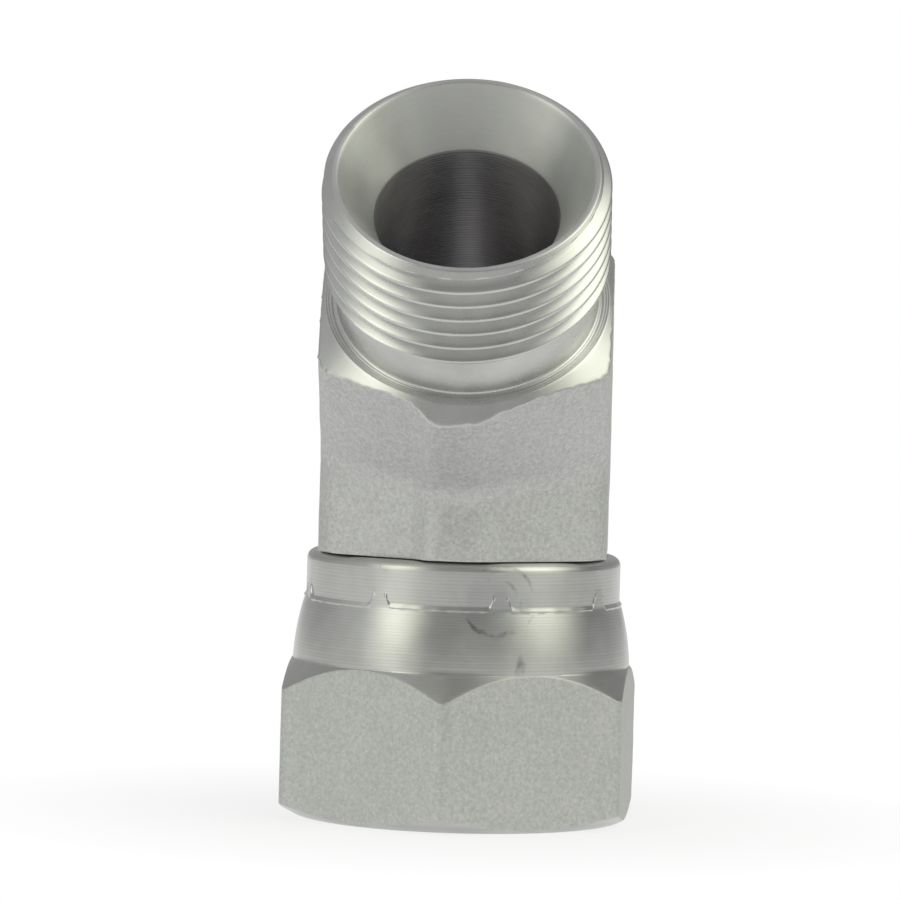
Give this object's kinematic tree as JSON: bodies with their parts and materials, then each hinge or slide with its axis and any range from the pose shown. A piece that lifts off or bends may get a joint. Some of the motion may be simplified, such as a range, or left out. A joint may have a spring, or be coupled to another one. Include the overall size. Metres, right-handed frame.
{
  "type": "forty-five degree elbow fitting",
  "caption": "Steel 45 degree hydraulic elbow: male thread with internal cone seat at one end, crimped hexagon swivel nut over a cone nose at the other.",
  "frame": {"origin": "centre of the swivel nut's open end face", "axes": "+Z along the nut's axis, from its open end towards the elbow; the male arm leans towards -Y in the YZ plane"},
  "size_m": [0.033, 0.0506, 0.0696],
  "materials": {
    "elbow_steel": "zinc plated, matte on forged faces and satin where turned",
    "nut_steel": "zinc plated, matte on the hexagon's flats and satin where turned"
  },
  "bodies": {
    "elbow": {"elbow_body": "elbow_steel"},
    "nut": {"swivel_nut": "nut_steel"}
  },
  "joints": [
    {"name": "nut_swivel", "type": "hinge", "parent": "elbow", "child": "nut", "pos_m": [0, 0, 0.018], "axis": [0, 0, 1], "continuous": true}
  ]
}
